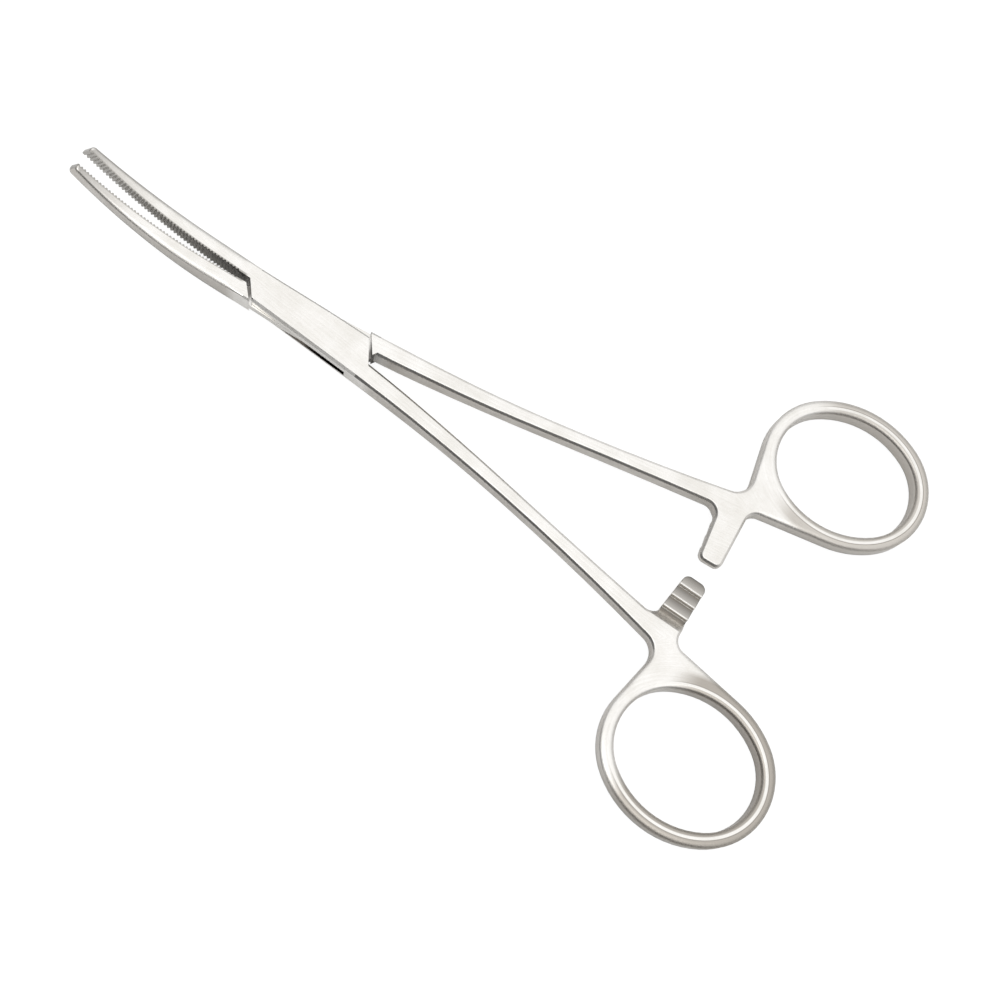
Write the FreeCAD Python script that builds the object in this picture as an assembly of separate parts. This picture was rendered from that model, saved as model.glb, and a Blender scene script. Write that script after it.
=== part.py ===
import FreeCAD, Part
import math
import os
from FreeCAD import Vector

# Curved artery forceps with a box lock: two forged steel arms crossing at one rivet.
# X runs from the jaws to the finger rings, Y across the arms, Z up. The origin is on the
# hinge axis in the plane of the box's underside. Lengths are millimetres, angles degrees.
# Both arms are laid out closed, with the jaw tips just meeting, and are then swung apart.

# How far the arms stand open, measured between them
rest_opening = 3.6

# Box, where the arms cross
box_front = 13.0           # hinge to the inner end of the front notch
box_rear = 12.9            # hinge to the inner end of the rear notch
box_front_half = 3.2       # half the width at the front notch
box_rear_half = 3.6        # half the width at the rear notch
front_slant = 39.5         # lean of the front notch line away from square across
rear_slant = 33.0
rear_step = 0.65           # the handles start this far from the middle line
cheek_top = 1.75
tongue = 1.5
cheek_bottom = 1.35
tongue_play = 0.03         # above and below the tongue
notch_gap = 0.25           # between a shoulder and the notch that it closes on
jaw_rounding = 0.4         # on the long edges of the jaw and of the box's jaw side
handle_bevel = 0.45        # on the upper long edges from the box to the ring
underside_bevel = 0.9      # on the lower ones

# Hinge rivet, with both ends spread into countersinks and ground flush
pin_diameter = 2.6
pin_head = 3.6
pin_head_depth = 0.6
pin_play = 0.03            # all round, in the tongue only

# Jaws, which curve upwards
jaw_length = 35.9          # in plan, from the notch to the tip
jaw_width = 2.75           # across one jaw at the box
tip_width = 1.1
jaw_fullness = 2.3         # how late the jaw narrows: 1 is a straight taper
tip_thickness = 3.5
jaw_bend_start = 21.2      # hinge to where the upper side starts to rise
jaw_underside_start = 14.6
jaw_bend_radius = 45.4
jaw_toe = 0.1              # each jaw stands back this far at the box when the tips meet
tip_play = 0.04            # each tip to the middle line, at the closed limit
tip_corner = 0.8

# Cross serrations on the jaw faces
serration_pitch = 0.7
serration_width = 0.55
serration_depth = 0.3
serration_margin = 0.55    # plain steel left at the tip
serration_stop = 14.6      # hinge to the last groove

# Shanks
shank_thickness = 3.8
shank_taper_end = 40.0     # hinge to where the box thickness has tapered away
shank_root_width = 3.55
shank_waist_width = 2.7    # halfway to the ratchet
shank_neck_width = 3.7
shank_waist_out = 4.6      # inner edge at the waist, off the middle line
shank_neck_out = 9.5       # inner edge at the ratchet
shank_inner_rise = 0.08    # slope of the inner edge where it leaves the box
box_side_rise = 0.04       # slope of the box's side at the front notch

# Finger rings
ring_reach = 97.5          # hinge to the ring's middle
ring_out = 27.6
ring_inside_length = 27.1
ring_inside_width = 22.35
ring_end_radius = 10.15    # inside, at the two ends of the oval
ring_turn = 2.8            # the oval's long axis leans outwards by this angle
ring_band = 2.65
ring_inner_bevel = 0.5
neck_past_bar = 3.85       # the shank's outer edge runs this far past the bar before the ring
neck_corner = 3.4

# Ratchet bars, each half as thick as the shank
bar_before_ring = 17.85    # ring's middle to the bar's edge at its root, on the shank's side
bar_width = 5.45           # at the root
bar_lean = 1.03            # the edge on the shank's side leans away from the box by this much
bar_past_middle = 1.0
bar_root_corner = 2.2
bar_far_corner = 2.4
bar_end_corner = 1.3
bar_far_root = 11.75       # off the middle line, where the bar meets the ring's web
tooth_pitch = 2.5
tooth_height = 0.65
tooth_crest = 0.2          # how far a crest stands past the middle of the thickness
tooth_steep = 0.3          # run of a tooth's steep side
tooth_count = 3
first_tooth = 2.3          # bar's end to the first crest
ramp_run = 2.6

box_thickness = cheek_top + tongue + cheek_bottom
half_box = box_thickness / 2
half_shank = shank_thickness / 2
ring_middle = Vector(ring_reach, ring_out, 0)
bar_reach = ring_reach - bar_before_ring
bar_far_edge = bar_reach + bar_width
tongue_low = -half_box + cheek_bottom
tongue_high = tongue_low + tongue
front_lean = math.tan(math.radians(front_slant))
rear_lean = math.tan(math.radians(rear_slant))


def point(x, y, z=0.0):
    return Vector(x, y, z)


def line(a, b):
    return Part.LineSegment(a, b).toShape()


def curve(points):
    spline = Part.BSplineCurve()
    spline.interpolate(points)
    return spline.toShape()


def arc_about(centre, radius, start, end):
    """Anticlockwise, between two angles in radians."""
    return Part.ArcOfCircle(Part.Circle(centre, Vector(0, 0, 1), radius), start, end).toShape()


def smooth_arcs(start, heading, stops):
    """Arcs through the stops, each one leaving in the direction that the last one arrived in."""
    arcs = []
    for stop in stops:
        chord = stop - start
        square = Vector(-heading.y, heading.x, 0)
        half_turn = math.atan2(chord.dot(square), chord.dot(heading))
        bulge = chord.Length / 2 * math.tan(half_turn / 2)
        across = Vector(chord.y, -chord.x, 0).normalize()
        arcs.append(Part.Arc(start, (start + stop) / 2 + across * bulge, stop).toShape())
        heading = turned(heading, 2 * half_turn)
        start = stop
    return arcs


def turned(direction, angle):
    c, s = math.cos(angle), math.sin(angle)
    return Vector(direction.x * c - direction.y * s, direction.x * s + direction.y * c, 0)


def touch_angle(centre, radius, spot, side):
    """The angle, about a circle's centre, at which a line from the spot just touches the circle."""
    way = spot - centre
    return math.atan2(way.y, way.x) + side * math.acos(radius / way.Length)


def slab(edges, direction):
    """A flat outline given thickness along a direction."""
    return Part.Face(Part.Wire(edges)).extrude(direction)


def polygon_slab(corners, direction):
    return Part.Face(Part.makePolygon(corners + [corners[0]])).extrude(direction)


def upright_edges(shape, corners):
    """The upright edges that stand at the given plan corners."""
    found = []
    for corner in corners:
        for edge in shape.Edges:
            ends = [vertex.Point for vertex in edge.Vertexes]
            if len(ends) == 2 and all(math.hypot(p.x - corner.x, p.y - corner.y) < 0.01 for p in ends):
                found.append(edge)
    return found


# Plan of one arm, with its handle on +Y and its jaw on -Y

tip_x = -(box_front + jaw_length)
jaw_back = tip_play + jaw_toe
front_inner = point(-box_front, 0)
front_outer = point(-box_front + front_lean * box_front_half, box_front_half)
rear_inner = point(box_rear, rear_step)
rear_outer = point(box_rear - rear_lean * (box_rear_half + rear_step), -box_rear_half)


def box_half_width(x):
    share = (x - front_outer.x) / (rear_outer.x - front_outer.x)
    return box_front_half + share * (box_rear_half - box_front_half)


def jaw_face(x):
    """How far the jaw's face stands from the middle line."""
    return tip_play + jaw_toe * (x - tip_x) / jaw_length


def jaw_back_point(share):
    """A point of the jaw's outer edge, from the box (0) to the tip (1)."""
    x = -box_front - share * jaw_length
    width = jaw_width - (jaw_width - tip_width) * share ** jaw_fullness
    return point(x, -(jaw_face(x) + width))


def ring_oval(grow):
    """The ring's outline as four arcs, each with its centre, radius, start and end."""
    half_long = ring_inside_length / 2
    half_short = ring_inside_width / 2
    side_radius = half_long ** 2 - 2 * half_long * ring_end_radius + half_short ** 2
    side_radius /= 2 * (half_short - ring_end_radius)
    end_shift = half_long - ring_end_radius
    side_shift = side_radius - half_short
    meet = math.atan2(side_shift, end_shift)
    end = ring_end_radius + grow
    side = side_radius + grow
    level = [(point(0, side_shift), side, meet - math.pi, -meet),
             (point(end_shift, 0), end, -meet, meet),
             (point(0, -side_shift), side, meet, math.pi - meet),
             (point(-end_shift, 0), end, math.pi - meet, math.pi + meet)]
    turn = math.radians(ring_turn)
    return [(ring_middle + turned(shift, turn), radius, start + turn, finish + turn)
            for shift, radius, start, finish in level]


def arm_plan():
    root_outer = point(box_rear, rear_step + shank_root_width)
    waist = point((box_rear + bar_reach) / 2, shank_waist_out)
    waist_outer = waist + point(0, shank_waist_width)
    bar_root = point(bar_reach, shank_neck_out)
    neck_side = bar_root + point(0, shank_neck_width)
    outer_stops = [root_outer, waist_outer, neck_side]
    outer = smooth_arcs(front_outer, point(1, box_side_rise).normalize(), outer_stops)
    inner = smooth_arcs(rear_inner, point(1, shank_inner_rise).normalize(), [waist, bar_root])
    neck = neck_side + outer[-1].tangentAt(outer[-1].LastParameter) * neck_past_bar

    ring = ring_oval(ring_band)
    far_root = point(bar_far_edge, bar_far_root)
    web_centre, web_radius, web_start, web_end = ring[0]
    web_touch = touch_angle(web_centre, web_radius, far_root, 1)
    neck_centre, neck_radius, neck_start, neck_end = ring[3]
    neck_touch = touch_angle(neck_centre, neck_radius, neck, -1) + 2 * math.pi
    ring_arcs = [arc_about(web_centre, web_radius, web_touch, web_end),
                 arc_about(*ring[1]),
                 arc_about(*ring[2]),
                 arc_about(neck_centre, neck_radius, neck_start, neck_touch)]
    web_spot = web_centre + turned(point(web_radius, 0), web_touch)
    neck_spot = neck_centre + turned(point(neck_radius, 0), neck_touch)

    bar_end = [point(bar_far_edge, -bar_past_middle), point(bar_reach + bar_lean, -bar_past_middle)]
    jaw_side = [rear_outer, point(0, -box_half_width(0))]
    jaw_side += [jaw_back_point(share) for share in (0, 0.25, 0.5, 0.75, 1)]
    tip_inner = point(tip_x, -jaw_face(tip_x))
    face_end = point(-box_front, -jaw_back)

    edges = outer + [line(neck_side, neck), line(neck, neck_spot)]
    edges += ring_arcs
    edges.append(line(web_spot, far_root))
    edges.append(line(far_root, bar_end[0]))
    edges.append(line(bar_end[0], bar_end[1]))
    edges.append(line(bar_end[1], bar_root))
    edges += inner
    edges.append(line(rear_inner, rear_outer))
    edges.append(curve(jaw_side))
    edges.append(line(jaw_side[-1], tip_inner))
    edges.append(line(tip_inner, face_end))
    edges.append(line(face_end, front_inner))
    edges.append(line(front_inner, front_outer))
    solid = slab([Part.Wire(Part.__sortEdges__(edges))], Vector(0, 0, 60))
    solid.translate(Vector(0, 0, -20))
    for corner, radius in ((neck, neck_corner), (far_root, bar_far_corner), (bar_root, bar_root_corner),
                           (bar_end[0], bar_end_corner), (bar_end[1], bar_end_corner)):
        solid = solid.makeFillet(radius, upright_edges(solid, [corner]))
    return solid


# Side view of one arm: level box, a taper to the shank, and the jaw's upward curve

bend_centre = point(-jaw_bend_start, 0, half_box + jaw_bend_radius)
bend_angle = math.asin((-tip_x - jaw_bend_start) / (jaw_bend_radius + tip_thickness))


def on_bend(radius, angle):
    return bend_centre + Vector(-radius * math.sin(angle), 0, -radius * math.cos(angle))


def side_view():
    tip_top = on_bend(jaw_bend_radius, bend_angle)
    tip_low = on_bend(jaw_bend_radius + tip_thickness, bend_angle)
    under = point(-jaw_underside_start, 0, -half_box)
    run = under.x - tip_low.x
    rise = tip_low.z - under.z
    radius = (run ** 2 + rise ** 2) / (2 * rise)
    half_turn = math.atan2(rise, run)
    under_middle = under + Vector(-radius * math.sin(half_turn), 0, radius * (1 - math.cos(half_turn)))
    far = ring_reach + ring_inside_length
    level = shank_taper_end - box_rear - 1

    def taper(side):
        start = point(box_rear + 1, 0, side * half_box)
        end = point(shank_taper_end, 0, side * half_shank)
        bezier = Part.BezierCurve()
        bezier.setPoles([start, start + Vector(level / 2, 0, 0), end - Vector(level / 2, 0, 0), end])
        return bezier.toShape()

    upper_middle = on_bend(jaw_bend_radius, bend_angle / 2)
    upper_end = on_bend(jaw_bend_radius, 0)
    edges = [Part.Arc(tip_top, upper_middle, upper_end).toShape()]
    edges.append(line(upper_end, point(box_rear + 1, 0, half_box)))
    edges.append(taper(1))
    edges.append(line(point(shank_taper_end, 0, half_shank), point(far, 0, half_shank)))
    edges.append(line(point(far, 0, half_shank), point(far, 0, -half_shank)))
    edges.append(line(point(far, 0, -half_shank), point(shank_taper_end, 0, -half_shank)))
    edges.append(taper(-1))
    edges.append(line(point(box_rear + 1, 0, -half_box), under))
    edges.append(Part.Arc(under, under_middle, tip_low).toShape())
    edges.append(line(tip_low, tip_top))
    solid = slab([Part.Wire(Part.__sortEdges__(edges))], Vector(0, 120, 0))
    solid.translate(Vector(0, -30, 0))
    return solid


def upright(face, spot):
    return abs(face.normalAt(*face.Surface.parameter(spot)).z) < 0.02


def middle(edge):
    return edge.valueAt((edge.FirstParameter + edge.LastParameter) / 2)


def long_edges(solid):
    """Edges between a side and the top or underside, apart from the jaw face and the notches."""
    found = []
    for edge in solid.Edges:
        spot = middle(edge)
        faces = solid.ancestorsOfType(edge, Part.Face)
        sides = [upright(face, spot) for face in faces]
        on_jaw_face = spot.x < -box_front + 0.01 and abs(spot.y) < jaw_back + 0.01
        at_front = abs(spot.x - (front_inner.x + front_outer.x) / 2) < 0.01
        at_rear = abs(spot.x - (rear_inner.x + rear_outer.x) / 2) < 0.01
        if sides.count(True) == 1 and not (on_jaw_face or at_front or at_rear):
            found.append(edge)
    return found


def beside_jaw(edge):
    return middle(edge).y < 0 and middle(edge).x < box_rear


def handle_edges(solid, side):
    """The handle's long edges, upper (1) or lower (-1)."""
    return [edge for edge in long_edges(solid) if not beside_jaw(edge) and middle(edge).z * side > 0]


def blank():
    """The full-thickness arm, before the joint, ratchet and serrations are cut."""
    solid = arm_plan().common(side_view())
    tip_spot = on_bend(jaw_bend_radius + tip_thickness / 2, bend_angle)
    tip_edges = [edge for edge in solid.Edges if (middle(edge) - tip_spot).Length < tip_thickness]
    back_corner = [edge for edge in tip_edges
                   if edge.Length < tip_thickness * 1.2 and abs(middle(edge).y) > tip_width * 0.8]
    solid = solid.makeFillet(tip_corner, back_corner)
    solid = solid.makeChamfer(handle_bevel, handle_edges(solid, 1))
    solid = solid.makeChamfer(underside_bevel, handle_edges(solid, -1))
    solid = solid.makeFillet(jaw_rounding, [edge for edge in long_edges(solid) if beside_jaw(edge)])
    hole = slab([arc_about(*arc) for arc in ring_oval(0)], Vector(0, 0, box_thickness))
    hole.translate(Vector(0, 0, -half_box))
    solid = solid.cut(hole)
    hole_radii = [radius for centre, radius, start, end in ring_oval(0)]
    rims = [edge for edge in solid.Edges if edge.Curve.TypeId == "Part::GeomCircle"
            and min(abs(edge.Curve.Radius - radius) for radius in hole_radii) < 0.001]
    return solid.makeChamfer(ring_inner_bevel, rims)


# Joint: the box arm is slotted for the tongue, and the tongue arm is pocketed for the cheeks

def between_notches(low, high, side):
    """Between an arm's notch lines, opened by the gap; on side 1 the handle is on +Y."""
    corners = []
    for inner, outer in ((front_inner, front_outer), (rear_inner, rear_outer)):
        way = (outer - inner).normalize()
        start = inner + Vector(-way.y, way.x, 0) * notch_gap
        reach = way * 3 * box_rear_half
        corners += [start - reach, start + reach]
    corners = [point(corner.x, side * corner.y, low) for corner in corners]
    return polygon_slab(corners, Vector(0, 0, high - low))


def mirrored(solid):
    return solid.mirror(Vector(0, 0, 0), Vector(0, 1, 0))


def hinge_pin():
    shank = Part.makeCylinder(pin_diameter / 2, box_thickness, point(0, 0, -half_box))
    low_head = Part.makeCone(pin_head / 2, pin_diameter / 2, pin_head_depth, point(0, 0, -half_box))
    top_start = point(0, 0, half_box - pin_head_depth)
    top_head = Part.makeCone(pin_diameter / 2, pin_head / 2, pin_head_depth, top_start)
    return shank.fuse([low_head, top_head]).removeSplitter()


# Ratchet: sawteeth on the upper side of the box arm's bar and on the underside of the other

def ratchet_space():
    """What is taken off the box arm's bar, whose handle is on -Y."""
    root = tooth_crest - tooth_height
    start = bar_past_middle + tooth_pitch
    fall = tooth_height * (tooth_pitch + first_tooth) / tooth_pitch
    corners = [point(0, start, half_box), point(0, start, tooth_crest - fall)]
    for count in range(tooth_count):
        at = bar_past_middle - first_tooth - count * tooth_pitch
        corners.append(point(0, at, tooth_crest))
        corners.append(point(0, at - tooth_steep, root))
    ramp_end = corners[-1].y - tooth_steep - ramp_run
    corners.append(point(0, ramp_end + ramp_run, root))
    corners.append(point(0, ramp_end, half_shank))
    corners.append(point(0, ramp_end, half_box))
    near = bar_reach - bar_root_corner
    space = polygon_slab(corners, Vector(bar_far_edge + bar_far_corner - near, 0, 0))
    space.translate(Vector(near, 0, 0))
    return space


# Serrations: grooves square across the curved jaw, shared out from the tip to the box

def grooves(shift):
    """Groove tools for the jaw on -Y, moved along by a share of the pitch."""
    proud = 0.05           # each tool starts this far outside the face
    half_width = serration_width / 2 * (1 + proud / serration_depth)
    radius = jaw_bend_radius + tip_thickness / 2
    bend_length = radius * bend_angle
    room = bend_length + jaw_bend_start - serration_stop - serration_margin
    count = int(room / serration_pitch - shift)
    tools = []
    for number in range(count):
        along = bend_length - serration_margin - (number + shift) * serration_pitch
        angle = max(along, 0) / radius
        x = -jaw_bend_start - min(along, 0)
        corners = [point(x - half_width, proud, -2 * half_box),
                   point(x + half_width, proud, -2 * half_box),
                   point(x, -serration_depth, -2 * half_box)]
        tool = polygon_slab(corners, Vector(0, 0, 4 * half_box))
        tool.rotate(bend_centre, Vector(0, 1, 0), math.degrees(angle))
        face_x = x if angle == 0 else on_bend(radius, angle).x
        tool.translate(Vector(0, -jaw_face(face_x), 0))
        tools.append(tool)
    return tools


def tongue_arm():
    above = between_notches(tongue_high, 2 * half_box, -1)
    below = between_notches(-2 * half_box, tongue_low, -1)
    hole = Part.makeCylinder(pin_diameter / 2 + pin_play, box_thickness, point(0, 0, -half_box))
    ratchet = ratchet_space()
    ratchet.rotate(Vector(0, 0, 0), Vector(1, 0, 0), 180)
    return blank().cut([above, below, hole, ratchet]).cut(grooves(0))


def box_arm():
    solid = mirrored(blank().cut(grooves(0.5)))
    slot = between_notches(tongue_low - tongue_play, tongue_high + tongue_play, 1)
    return solid.cut([slot, hinge_pin(), ratchet_space()])


def seated(solid, turn):
    """Swing a closed piece about the hinge and stand it on the box's underside."""
    solid.rotate(Vector(0, 0, 0), Vector(0, 0, 1), turn)
    solid.translate(Vector(0, 0, half_box))
    return solid


pieces = {
    "box_arm": seated(box_arm(), -rest_opening / 2),
    "tongue_arm": seated(tongue_arm(), rest_opening / 2),
    "hinge_pin": seated(hinge_pin(), -rest_opening / 2),
}

os.makedirs("parts", exist_ok=True)
for name, solid in pieces.items():
    solid.exportStep("parts/" + name + ".step")
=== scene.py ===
import math

import bpy
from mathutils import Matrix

# Curved artery forceps with a box lock, about 160 mm long, lying a little open on a white table.
# Both arms are martensitic stainless steel, forged, ground, and finished to a satin.
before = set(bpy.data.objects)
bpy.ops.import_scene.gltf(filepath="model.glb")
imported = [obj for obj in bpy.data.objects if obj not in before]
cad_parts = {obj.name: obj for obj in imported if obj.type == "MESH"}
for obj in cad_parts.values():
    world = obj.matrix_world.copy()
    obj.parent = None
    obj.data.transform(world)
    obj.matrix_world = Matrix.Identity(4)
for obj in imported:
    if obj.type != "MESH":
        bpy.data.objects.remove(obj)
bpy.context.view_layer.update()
mm = 0.001


# Box arm: the female arm, one forging, with two cheeks that hold the tongue of the other arm.
# Hardened stainless steel, belt ground along its length, then vapour blasted, which leaves a
# pale, soft sheen with faint grinding lines in it.

def linear(hex_colour):
    """An sRGB hex colour as linear red, green, blue and alpha."""
    channels = [int(hex_colour[i:i + 2], 16) / 255 for i in (1, 3, 5)]
    return [c / 12.92 if c <= 0.04045 else ((c + 0.055) / 1.055) ** 2.4 for c in channels] + [1]


def add(tree, kind, settings=None, **inputs):
    """Adds one node, sets its properties, and gives each input a value or another node's output.

    An input is named with _ for a space, or as i and its number.
    """
    node = tree.nodes.new(kind)
    for name, value in (settings or {}).items():
        setattr(node, name, value)
    for name, value in inputs.items():
        numbered = name[0] == "i" and name[1:].isdigit()
        key = int(name[1:]) if numbered else name.replace("_", " ")
        if isinstance(value, bpy.types.NodeSocket):
            tree.links.new(value, node.inputs[key])
        else:
            node.inputs[key].default_value = value
    return node


# Where the forms of an arm are, for the finish and the painted shade that each of them is given.
# Those along and off the middle line hold with the arms closed.
ring_middle = (97.5 * mm, 27.6 * mm)
ring_half_sizes = (14.9 * mm, 12.5 * mm)   # to the middle of the ring's band
ring_radius = 13 * mm                      # on average
ring_turn = math.radians(2.8)
rest_half_opening = math.radians(1.8)
handle_lean = math.radians(7)              # of the shank, off the middle line
box_height = 4.6 * mm
box_side_end = 12.3 * mm                   # hinge to where the side of the box ends
lock_end = 14.6 * mm                       # hinge to just past the notches
slot_middle = 2.1 * mm                     # height of the middle of the slot
slot_half = 0.85 * mm                      # half its height and a little over
jaw_start = -13.6 * mm
jaw_full = -14.2 * mm                      # from here on it is all jaw
bar_start = 70 * mm                        # the ratchet bars lie further out than this
bar_root = 12.4 * mm                       # off the middle line, where a bar leaves its arm
bar_full = 11.2 * mm
ramp_start = 6.8 * mm                      # off the middle line, where the teeth give way to a ramp

# Colours of the steel, low and high where they vary. The side, ring, ring edge, jaw edge,
# serrated and lock colours are painted shade; the tooth colours are painted shade at the root
# and a painted highlight at the crest.
arm_tone = ("#E6E3DD", "#F8F6F3")
rivet_tone = ("#ECE9E4", "#F7F5F2")
side_shade_tone = ("#C2BDB6", "#D9D5CF")
tooth_shade_tones = ("#807C76", "#D2CEC8")       # at the root of a tooth and at its crest
box_ring_shade_tone = "#B2ACA4"
tongue_ring_shade_tone = "#CAC5BE"
ring_edge_shade_tone = "#97918A"
jaw_edge_shade_tone = "#8A8783"
serrated_shade_tone = "#B0ADA8"
lock_shadow_tone = "#55514D"


def satin_steel(name, tone, ring_shade_tone, handle_side):
    """Satin stainless steel for one arm or the rivet, with each form's finish and painted shade."""
    material = bpy.data.materials.new(name)
    material.use_nodes = True
    tree = material.node_tree
    tree.nodes.clear()
    place = add(tree, "ShaderNodeTexCoord").outputs["Object"]
    height = add(tree, "ShaderNodeSeparateXYZ", Vector=place).outputs[2]

    # The place on the arm as if the arms were closed, and its distance from the middle line
    closed_turn = handle_side * rest_half_opening
    closed = add(tree, "ShaderNodeMapping", {"vector_type": "POINT"},
                 Vector=place, Rotation=(0, 0, -closed_turn))
    closed_place = add(tree, "ShaderNodeSeparateXYZ", Vector=closed.outputs[0])
    along = closed_place.outputs[0]
    off_middle = add(tree, "ShaderNodeMath", {"operation": "ABSOLUTE"},
                     i0=closed_place.outputs[1]).outputs[0]
    from_hinge = add(tree, "ShaderNodeMath", {"operation": "ABSOLUTE"}, i0=along).outputs[0]

    # The place round the ring: 1 in the middle of its band, all the way round
    turn_cos, turn_sin = math.cos(closed_turn), math.sin(closed_turn)
    ring_x = ring_middle[0] * turn_cos - handle_side * ring_middle[1] * turn_sin
    ring_y = ring_middle[0] * turn_sin + handle_side * ring_middle[1] * turn_cos
    oval = add(tree, "ShaderNodeMapping", {"vector_type": "TEXTURE"},
               Vector=place, Location=(ring_x, ring_y, 0),
               Rotation=(0, 0, handle_side * (rest_half_opening + ring_turn)),
               Scale=(*ring_half_sizes, 1))
    oval_place = add(tree, "ShaderNodeSeparateXYZ", Vector=oval.outputs[0])
    outward = add(tree, "ShaderNodeVectorMath", {"operation": "LENGTH"},
                  i0=oval.outputs[0]).outputs["Value"]
    on_ring = add(tree, "ShaderNodeMapRange", {"interpolation_type": "SMOOTHSTEP"},
                  Value=outward, From_Min=1.6, From_Max=1.15).outputs[0]

    # Grinding lines: 7 mm long and 0.35 mm apart, coarser than the real 0.1 mm so that they show
    line_length = 7 * mm
    line_pitch = 0.35 * mm
    turned = add(tree, "ShaderNodeMapping", {"vector_type": "POINT"},
                 Vector=place, Rotation=(0, 0, -handle_side * handle_lean))
    shank_lines = add(tree, "ShaderNodeMapping", Vector=turned.outputs[0],
                      Scale=(1 / line_length, 1 / line_pitch, 1 / line_pitch))
    angle = add(tree, "ShaderNodeMath", {"operation": "ARCTAN2"},
                i0=oval_place.outputs[1], i1=oval_place.outputs[0])
    around = add(tree, "ShaderNodeMath", {"operation": "MULTIPLY"},
                 i0=angle.outputs[0], i1=ring_radius / line_length)
    across = add(tree, "ShaderNodeMath", {"operation": "MULTIPLY"},
                 i0=outward, i1=ring_radius / line_pitch)
    upward = add(tree, "ShaderNodeMath", {"operation": "MULTIPLY"}, i0=height, i1=1 / line_pitch)
    ring_lines = add(tree, "ShaderNodeCombineXYZ",
                     X=around.outputs[0], Y=across.outputs[0], Z=upward.outputs[0])
    grain_place = add(tree, "ShaderNodeMix", {"data_type": "VECTOR"}, Factor=on_ring)
    tree.links.new(shank_lines.outputs[0], grain_place.inputs[4])
    tree.links.new(ring_lines.outputs[0], grain_place.inputs[5])
    lines = add(tree, "ShaderNodeTexNoise",
                Vector=grain_place.outputs[1], Scale=1, Detail=4, Roughness=0.6)

    # Blasting: a fine even pitting, drawn 0.25 mm across, coarser than it is so that it shows
    pits = add(tree, "ShaderNodeTexNoise",
               Vector=place, Scale=1 / (0.25 * mm), Detail=2, Roughness=0.5)
    # Hand finishing leaves patches some 6 mm across a little brighter or duller
    patches = add(tree, "ShaderNodeTexNoise",
                  Vector=place, Scale=1 / (6 * mm), Detail=3, Roughness=0.6)

    # Edges are rounded on the belt: widely round the rings and along the backs of the jaws, a
    # little along the shanks, hardly at the box, and not at all round the rivet, ground flush
    ring_rounding = add(tree, "ShaderNodeMapRange", Value=outward, From_Min=0.95, From_Max=1.05,
                        To_Min=0.8 * mm, To_Max=1.3 * mm)
    handle_rounding = add(tree, "ShaderNodeMix", {"data_type": "FLOAT"}, Factor=on_ring,
                          i2=0.25 * mm, i3=ring_rounding.outputs[0])
    on_bar = add(tree, "ShaderNodeMapRange", Value=off_middle, From_Min=bar_root, From_Max=bar_full)
    past_shank = add(tree, "ShaderNodeMath", {"operation": "GREATER_THAN"}, i0=along, i1=bar_start)
    bar_part = add(tree, "ShaderNodeMath", {"operation": "MULTIPLY"},
                   i0=on_bar.outputs[0], i1=past_shank.outputs[0])
    bar_rounding = add(tree, "ShaderNodeMix", {"data_type": "FLOAT"}, Factor=bar_part.outputs[0],
                       i2=handle_rounding.outputs[0], i3=0.3 * mm)
    jaw_rounding = add(tree, "ShaderNodeMapRange", Value=off_middle,
                       From_Min=0.5 * mm, From_Max=1.8 * mm, To_Min=0.05 * mm, To_Max=1.4 * mm)
    on_jaw = add(tree, "ShaderNodeMapRange", Value=along,
                 From_Min=jaw_start, From_Max=jaw_full).outputs[0]
    arm_rounding = add(tree, "ShaderNodeMix", {"data_type": "FLOAT"}, Factor=on_jaw,
                       i2=bar_rounding.outputs[0], i3=jaw_rounding.outputs[0])
    box_rounding = add(tree, "ShaderNodeMapRange", Value=from_hinge,
                       From_Min=2.1 * mm, From_Max=2.4 * mm, To_Max=0.08 * mm)
    past_box = add(tree, "ShaderNodeMapRange", Value=from_hinge,
                   From_Min=14 * mm, From_Max=16 * mm)
    rounding = add(tree, "ShaderNodeMix", {"data_type": "FLOAT"}, Factor=past_box.outputs[0],
                   i2=box_rounding.outputs[0], i3=arm_rounding.outputs[0])
    belted = add(tree, "ShaderNodeBevel", {"samples": 8}, Radius=rounding.outputs[0])

    # The sides of the box are ground flat right up to its top, so its edges stay crisp
    normal = add(tree, "ShaderNodeNewGeometry").outputs["Normal"]
    true_facing = add(tree, "ShaderNodeSeparateXYZ", Vector=normal)
    true_rise = add(tree, "ShaderNodeMath", {"operation": "ABSOLUTE"},
                    i0=true_facing.outputs[2]).outputs[0]
    level_normal = add(tree, "ShaderNodeVectorMath", {"operation": "MULTIPLY"},
                       i0=normal, i1=(1, 1, 0))
    flat_side = add(tree, "ShaderNodeVectorMath", {"operation": "NORMALIZE"},
                    i0=level_normal.outputs[0])
    not_top = add(tree, "ShaderNodeMath", {"operation": "LESS_THAN"}, i0=true_rise, i1=0.97)
    box_side = add(tree, "ShaderNodeMath", {"operation": "LESS_THAN"},
                   i0=from_hinge, i1=box_side_end)
    box_flat = add(tree, "ShaderNodeMath", {"operation": "MULTIPLY"},
                   i0=not_top.outputs[0], i1=box_side.outputs[0])
    rounded = add(tree, "ShaderNodeMix", {"data_type": "VECTOR"}, Factor=box_flat.outputs[0])
    tree.links.new(belted.outputs[0], rounded.inputs[4])
    tree.links.new(flat_side.outputs[0], rounded.inputs[5])
    shading_normal = rounded.outputs[1]
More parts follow.
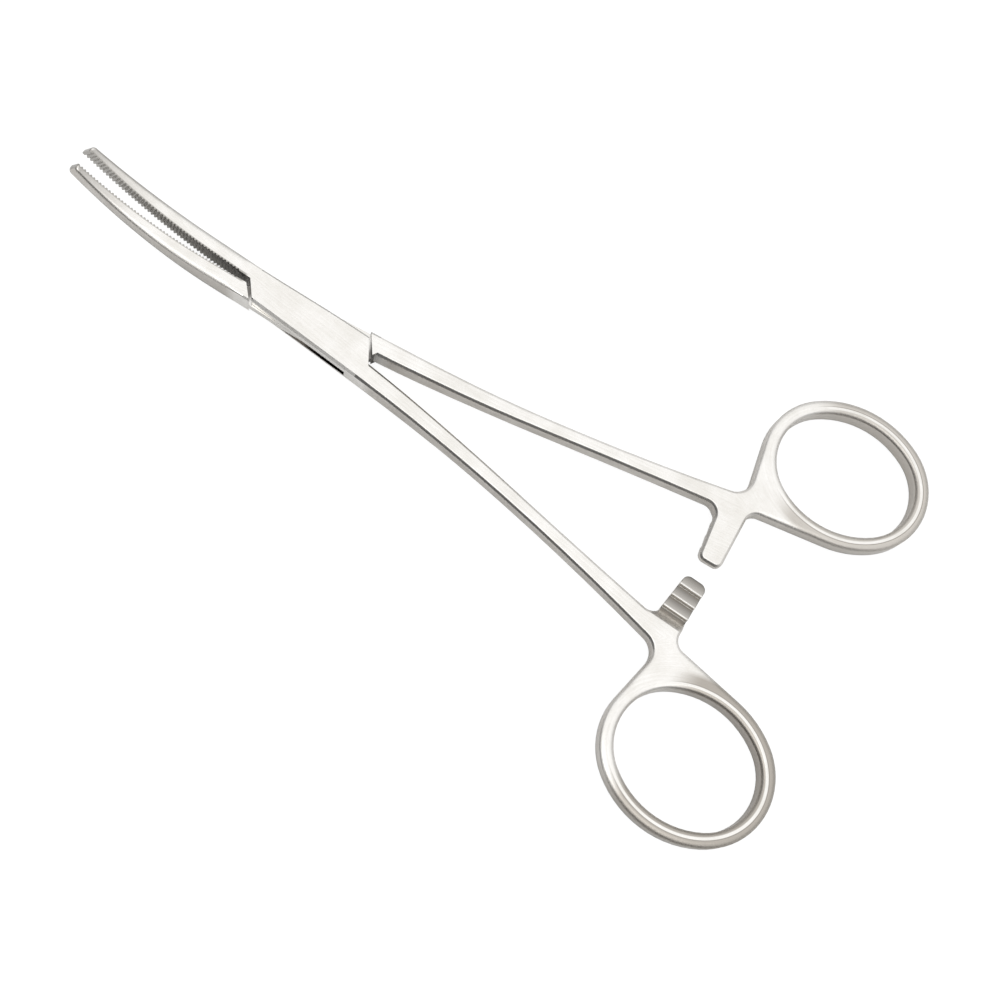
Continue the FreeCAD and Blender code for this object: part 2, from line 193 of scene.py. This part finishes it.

    # Painted shade: past the box, faces that turn from up to the side are painted greyer than the
    # flats, which are palest
    grain = add(tree, "ShaderNodeMix", {"data_type": "FLOAT"}, Factor=0.35,
                i2=lines.outputs[0], i3=pits.outputs[0])
    shade = add(tree, "ShaderNodeMix", {"data_type": "FLOAT"}, Factor=0.5,
                i2=grain.outputs[0], i3=patches.outputs[0])
    shade_low, shade_high = 0.36, 0.64
    spread = add(tree, "ShaderNodeMapRange", Value=shade.outputs[0],
                 From_Min=shade_low, From_Max=shade_high)
    flats = add(tree, "ShaderNodeMix", {"data_type": "RGBA"}, Factor=spread.outputs[0],
                i6=linear(tone[0]), i7=linear(tone[1]))
    side_shade = add(tree, "ShaderNodeMix", {"data_type": "RGBA"}, Factor=spread.outputs[0],
                i6=linear(side_shade_tone[0]), i7=linear(side_shade_tone[1]))
    facing = add(tree, "ShaderNodeSeparateXYZ", Vector=belted.outputs[0])
    up_or_down = add(tree, "ShaderNodeMath", {"operation": "ABSOLUTE"}, i0=facing.outputs[2])
    on_side = add(tree, "ShaderNodeMapRange", Value=up_or_down.outputs[0],
                  From_Min=0.85, From_Max=0.35)
    greyer = add(tree, "ShaderNodeMath", {"operation": "MULTIPLY"},
                 i0=on_side.outputs[0], i1=past_box.outputs[0])
    with_side_shade = add(tree, "ShaderNodeMix", {"data_type": "RGBA"}, Factor=greyer.outputs[0],
                 i6=flats.outputs[2], i7=side_shade.outputs[2])

    # Round the ring, up to where the ring joins the shank, the outer and inner sides of the band
    # are painted greyer as painted shade, so that only the crown is as pale as the flats, with a
    # thin painted shade line outside it. Towards the tips the jaws are a little greyer too.
    band_rim = 1.008
    outer_band = add(tree, "ShaderNodeMapRange", Value=outward, From_Min=0.998, From_Max=band_rim)
    inner_band = add(tree, "ShaderNodeMapRange", Value=outward, From_Min=0.970, From_Max=0.958)
    bands = add(tree, "ShaderNodeMath", {"operation": "MAXIMUM"},
                i0=outer_band.outputs[0], i1=inner_band.outputs[0])
    off_neck = add(tree, "ShaderNodeMapRange", {"interpolation_type": "SMOOTHSTEP"},
                   Value=oval_place.outputs[0], From_Min=-0.75, From_Max=-0.35)
    near_ring = add(tree, "ShaderNodeMapRange", Value=outward, From_Min=1.19, From_Max=1.11)
    free_ring = add(tree, "ShaderNodeMath", {"operation": "MULTIPLY"},
                    i0=off_neck.outputs[0], i1=near_ring.outputs[0])
    ring_shade = add(tree, "ShaderNodeMath", {"operation": "MULTIPLY"},
                    i0=bands.outputs[0], i1=free_ring.outputs[0])
    with_ring_shade = add(tree, "ShaderNodeMix", {"data_type": "RGBA"}, Factor=ring_shade.outputs[0],
                   i6=with_side_shade.outputs[2], i7=linear(ring_shade_tone))
    band_edge = add(tree, "ShaderNodeMath", {"operation": "COMPARE"},
                    i0=outward, i1=band_rim, i2=0.004)
    ring_edge_shade = add(tree, "ShaderNodeMath", {"operation": "MULTIPLY"},
                    i0=band_edge.outputs[0], i1=free_ring.outputs[0])
    ring_done = add(tree, "ShaderNodeMix", {"data_type": "RGBA"}, Factor=ring_edge_shade.outputs[0],
                    i6=with_ring_shade.outputs[2], i7=linear(ring_edge_shade_tone))
    tip_grey = add(tree, "ShaderNodeMapRange", {"interpolation_type": "SMOOTHSTEP"},
                   Value=along, From_Min=-26 * mm, From_Max=-48 * mm, To_Max=0.45)
    tipped = add(tree, "ShaderNodeMix", {"data_type": "RGBA"}, Factor=tip_grey.outputs[0],
                 i6=ring_done.outputs[2], i7=side_shade.outputs[2])

    # Where the back of a jaw rolls over into its side, a soft darker line of painted shade is laid
    # along the edge
    roll_over = add(tree, "ShaderNodeMapRange", {"interpolation_type": "SMOOTHSTEP"},
                    Value=up_or_down.outputs[0], From_Min=0.97, From_Max=0.72, To_Max=0.65)
    above_side = add(tree, "ShaderNodeMath", {"operation": "GREATER_THAN"},
                     i0=up_or_down.outputs[0], i1=0.45)
    rolled = add(tree, "ShaderNodeMath", {"operation": "MULTIPLY"},
                 i0=roll_over.outputs[0], i1=above_side.outputs[0])
    jaw_edge_shade = add(tree, "ShaderNodeMath", {"operation": "MULTIPLY"},
                   i0=rolled.outputs[0], i1=on_jaw)
    with_jaw_shade = add(tree, "ShaderNodeMix", {"data_type": "RGBA"}, Factor=jaw_edge_shade.outputs[0],
                   i6=tipped.outputs[2], i7=linear(jaw_edge_shade_tone))

    # The serrated faces of the jaws are left as milled, and painted darker and duller as painted
    # shade between the closed jaws
    near_face = add(tree, "ShaderNodeMapRange", Value=off_middle,
                    From_Min=0.55 * mm, From_Max=0.35 * mm)
    serrated = add(tree, "ShaderNodeMath", {"operation": "MULTIPLY"},
                   i0=near_face.outputs[0], i1=on_jaw)
    with_jaws = add(tree, "ShaderNodeMix", {"data_type": "RGBA"}, Factor=serrated.outputs[0],
                    i6=with_jaw_shade.outputs[2], i7=linear(serrated_shade_tone))

    # The ratchet teeth are milled too, and painted with shade darkest at their roots and a painted
    # highlight on their crests. They face up on the box arm and down on the tongue arm, so their
    # height is taken from their back.
    teeth_up = handle_side < 0
    tooth_height = add(tree, "ShaderNodeMapRange", {"clamp": False}, Value=height,
                       From_Min=0, From_Max=box_height,
                       To_Min=0 if teeth_up else box_height, To_Max=box_height if teeth_up else 0)
    up_tooth = add(tree, "ShaderNodeMapRange", Value=tooth_height.outputs[0],
                   From_Min=1.85 * mm, From_Max=2.5 * mm)
    tooth_shade = add(tree, "ShaderNodeMix", {"data_type": "RGBA"}, Factor=up_tooth.outputs[0],
                     i6=linear(tooth_shade_tones[0]), i7=linear(tooth_shade_tones[1]))
    below_top = add(tree, "ShaderNodeMapRange", Value=tooth_height.outputs[0],
                    From_Min=4.19 * mm, From_Max=3.4 * mm)
    above_back = add(tree, "ShaderNodeMath", {"operation": "GREATER_THAN"},
                     i0=tooth_height.outputs[0], i1=1.2 * mm)
    not_steep = add(tree, "ShaderNodeMath", {"operation": "GREATER_THAN"}, i0=true_rise, i1=0.6)
    crest = add(tree, "ShaderNodeMath", {"operation": "GREATER_THAN"},
                i0=tooth_height.outputs[0], i1=2.42 * mm)
    before_ramp = add(tree, "ShaderNodeMath", {"operation": "LESS_THAN"},
                      i0=off_middle, i1=ramp_start)
    crest_highlight = add(tree, "ShaderNodeMath", {"operation": "MULTIPLY"},
                       i0=crest.outputs[0], i1=before_ramp.outputs[0])
    below_crest = add(tree, "ShaderNodeMath", {"operation": "SUBTRACT"},
                      i0=below_top.outputs[0], i1=crest_highlight.outputs[0])
    tooth_part = add(tree, "ShaderNodeMath", {"operation": "MULTIPLY"},
                     i0=below_crest.outputs[0], i1=above_back.outputs[0])
    tooth_face = add(tree, "ShaderNodeMath", {"operation": "MULTIPLY"},
                     i0=tooth_part.outputs[0], i1=not_steep.outputs[0])
    toothed = add(tree, "ShaderNodeMath", {"operation": "MULTIPLY"},
                  i0=bar_part.outputs[0], i1=tooth_face.outputs[0])
    with_teeth = add(tree, "ShaderNodeMix", {"data_type": "RGBA"}, Factor=toothed.outputs[0],
                     i6=with_jaws.outputs[2], i7=tooth_shade.outputs[2])

    # Inside the lock a dark painted shadow is laid on the steel: in the slot, on the sides of the
    # tongue where they draw in from the box, and on the shoulders at the notches
    across_facing = add(tree, "ShaderNodeMath", {"operation": "ABSOLUTE"},
                        i0=true_facing.outputs[1])
    along_facing = add(tree, "ShaderNodeMath", {"operation": "ABSOLUTE"},
                       i0=true_facing.outputs[0])
    in_slot = add(tree, "ShaderNodeMath", {"operation": "COMPARE"},
                  i0=height, i1=slot_middle, i2=slot_half)
    not_side = add(tree, "ShaderNodeMath", {"operation": "LESS_THAN"},
                   i0=across_facing.outputs[0], i1=0.8)
    above_slot = add(tree, "ShaderNodeMath", {"operation": "SUBTRACT"}, i0=height, i1=slot_middle)
    away = add(tree, "ShaderNodeMath", {"operation": "MULTIPLY"},
               i0=above_slot.outputs[0], i1=true_facing.outputs[2])
    looks_in = add(tree, "ShaderNodeMath", {"operation": "LESS_THAN"},
                   i0=away.outputs[0], i1=0.05 * mm)
    inward = add(tree, "ShaderNodeMath", {"operation": "MULTIPLY"},
                 i0=not_side.outputs[0], i1=looks_in.outputs[0])
    at_notch = add(tree, "ShaderNodeMapRange", Value=from_hinge,
                   From_Min=11 * mm, From_Max=11.8 * mm, To_Max=0.85)
    notch_floor = add(tree, "ShaderNodeMath", {"operation": "MULTIPLY"},
                      i0=not_side.outputs[0], i1=at_notch.outputs[0])
    hidden = add(tree, "ShaderNodeMath", {"operation": "MAXIMUM"},
                 i0=inward.outputs[0], i1=notch_floor.outputs[0])
    slot_face = add(tree, "ShaderNodeMath", {"operation": "MULTIPLY"},
                    i0=in_slot.outputs[0], i1=hidden.outputs[0])
    corner = add(tree, "ShaderNodeMath", {"operation": "MULTIPLY"},
                 i0=along, i1=closed_place.outputs[1])
    drawn_in = add(tree, "ShaderNodeMapRange", Value=corner.outputs[0],
                   From_Min=-handle_side * 2 * mm * mm, From_Max=-handle_side * 8 * mm * mm)
    tongue_side = add(tree, "ShaderNodeMath", {"operation": "MULTIPLY"},
                      i0=in_slot.outputs[0], i1=drawn_in.outputs[0])
    shoulder = add(tree, "ShaderNodeMath", {"operation": "GREATER_THAN"},
                   i0=along_facing.outputs[0], i1=0.7)
    slot_or_side = add(tree, "ShaderNodeMath", {"operation": "MAXIMUM"},
                       i0=slot_face.outputs[0], i1=tongue_side.outputs[0])
    lock_face = add(tree, "ShaderNodeMath", {"operation": "MAXIMUM"},
                    i0=slot_or_side.outputs[0], i1=shoulder.outputs[0])
    at_lock = add(tree, "ShaderNodeMath", {"operation": "LESS_THAN"}, i0=from_hinge, i1=lock_end)
    lock_shadow = add(tree, "ShaderNodeMath", {"operation": "MULTIPLY"},
                    i0=lock_face.outputs[0], i1=at_lock.outputs[0])
    colour = add(tree, "ShaderNodeMix", {"data_type": "RGBA"}, Factor=lock_shadow.outputs[0],
                 i6=with_teeth.outputs[2], i7=linear(lock_shadow_tone))

    roughness = add(tree, "ShaderNodeMapRange", Value=shade.outputs[0],
                    From_Min=shade_low, From_Max=shade_high, To_Min=0.28, To_Max=0.18)
    bump = add(tree, "ShaderNodeBump", Height=grain.outputs[0], Normal=shading_normal,
               Strength=0.25, Distance=0.02 * mm)
    steel = add(tree, "ShaderNodeBsdfPrincipled", Metallic=1, Base_Color=colour.outputs[2],
                Roughness=roughness.outputs[0], Normal=bump.outputs[0])
    add(tree, "ShaderNodeOutputMaterial", Surface=steel.outputs[0])
    return material


box_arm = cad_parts["box_arm"]
box_arm.material_slots[0].material = satin_steel(
    "satin_stainless_box_arm", arm_tone, box_ring_shade_tone, -1)


# Tongue arm: the male arm, a second forging of the same steel and finish, whose middle is
# milled down to a thin tongue that was threaded through the box before the cheeks were closed.

tongue_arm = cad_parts["tongue_arm"]
tongue_arm.material_slots[0].material = satin_steel(
    "satin_stainless_tongue_arm", arm_tone, tongue_ring_shade_tone, 1)


# Rivet: a stainless pin, its two ends spread into countersinks and ground flush with the box,
# so that only a slightly brighter round of steel is left to see.

hinge_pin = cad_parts["hinge_pin"]
hinge_pin.material_slots[0].material = satin_steel(
    "satin_stainless_rivet", rivet_tone, tongue_ring_shade_tone, -1)


# Table: a matt white sweep under the forceps. Only the camera sees it lighter than its paint is,
# and the steel mirrors the plain paint. It still takes the forceps' soft shadow.

bpy.ops.object.select_all(action="DESELECT")
table_gap = 0.02 * mm                      # below the forceps, so that no faces coincide
bpy.ops.mesh.primitive_plane_add(size=4, location=(0.045, -0.01, -table_gap))
table = bpy.context.object
table.name = "table"
table_paint = bpy.data.materials.new("matt_white_table")
table_paint.use_nodes = True
tree = table_paint.node_tree
tree.nodes.clear()
path = add(tree, "ShaderNodeLightPath")
paint = add(tree, "ShaderNodeBsdfDiffuse", Color=linear("#F2F2F2"))
glow = add(tree, "ShaderNodeEmission", Color=linear("#FFFFFF"), Strength=1.15)
lift = add(tree, "ShaderNodeMath", {"operation": "MULTIPLY"},
           i0=path.outputs["Is Camera Ray"], i1=0.8)
seen = add(tree, "ShaderNodeMixShader",
           Fac=lift.outputs[0], i1=paint.outputs[0], i2=glow.outputs[0])
add(tree, "ShaderNodeOutputMaterial", Surface=seen.outputs[0])
table.data.materials.append(table_paint)


# Light: one wide softbox overhead and a white ceiling. The room is dark towards the horizon, which
# gives the rounded edges their thin dark lines, and less dark on the tongue arm's handle side.
# The camera sees it white.

world = bpy.data.worlds.new("studio")
bpy.context.scene.world = world
world.use_nodes = True
tree = world.node_tree
tree.nodes.clear()
direction = add(tree, "ShaderNodeTexCoord").outputs["Generated"]
way = add(tree, "ShaderNodeSeparateXYZ", Vector=direction)
climb = add(tree, "ShaderNodeMapRange", {"interpolation_type": "SMOOTHSTEP"},
            Value=way.outputs[2], From_Min=0.40, From_Max=0.85)
window_way = (0.35, 0.94, 0)
towards_window = add(tree, "ShaderNodeVectorMath", {"operation": "DOT_PRODUCT"},
                     i0=direction, i1=window_way)
low_light = add(tree, "ShaderNodeMapRange", {"interpolation_type": "SMOOTHSTEP"},
                Value=towards_window.outputs["Value"],
                From_Min=-0.9, From_Max=0.6, To_Min=0.10, To_Max=0.70)
ceiling_level = 1.08
level = add(tree, "ShaderNodeMix", {"data_type": "FLOAT"}, Factor=climb.outputs[0],
            i2=low_light.outputs[0], i3=ceiling_level)
room = add(tree, "ShaderNodeBackground", Color=linear("#FFFFFF"), Strength=level.outputs[0])
white = add(tree, "ShaderNodeBackground", Color=linear("#FFFFFF"), Strength=1)
path = add(tree, "ShaderNodeLightPath")
seen = add(tree, "ShaderNodeMixShader",
           Fac=path.outputs["Is Camera Ray"], i1=room.outputs[0], i2=white.outputs[0])
add(tree, "ShaderNodeOutputWorld", Surface=seen.outputs[0])

bpy.ops.object.light_add(type="AREA", location=(0.05, -0.22, 0.60))
softbox = bpy.context.object
softbox.name = "softbox"
softbox.data.shape = "RECTANGLE"
softbox.data.size = 0.55
softbox.data.size_y = 0.40
softbox.data.energy = 0.5


# Camera: it looks down from the side of the box arm's handle, 72 degrees up, and is rolled so
# that the forceps lie from the top left to the lower right.

camera_place = (49.961 * mm, -94.184 * mm, 259.407 * mm)
camera_turn = (math.radians(16.1146), math.radians(-9.0018), math.radians(31.2926))
bpy.ops.object.camera_add(location=camera_place, rotation=camera_turn)
camera = bpy.context.object
camera.name = "photo_camera"
camera.data.sensor_width = 36
camera.data.lens = 55.156
camera.data.clip_start = 0.01
camera.data.clip_end = 10
bpy.context.scene.camera = camera
bpy.context.scene.view_settings.view_transform = "Standard"
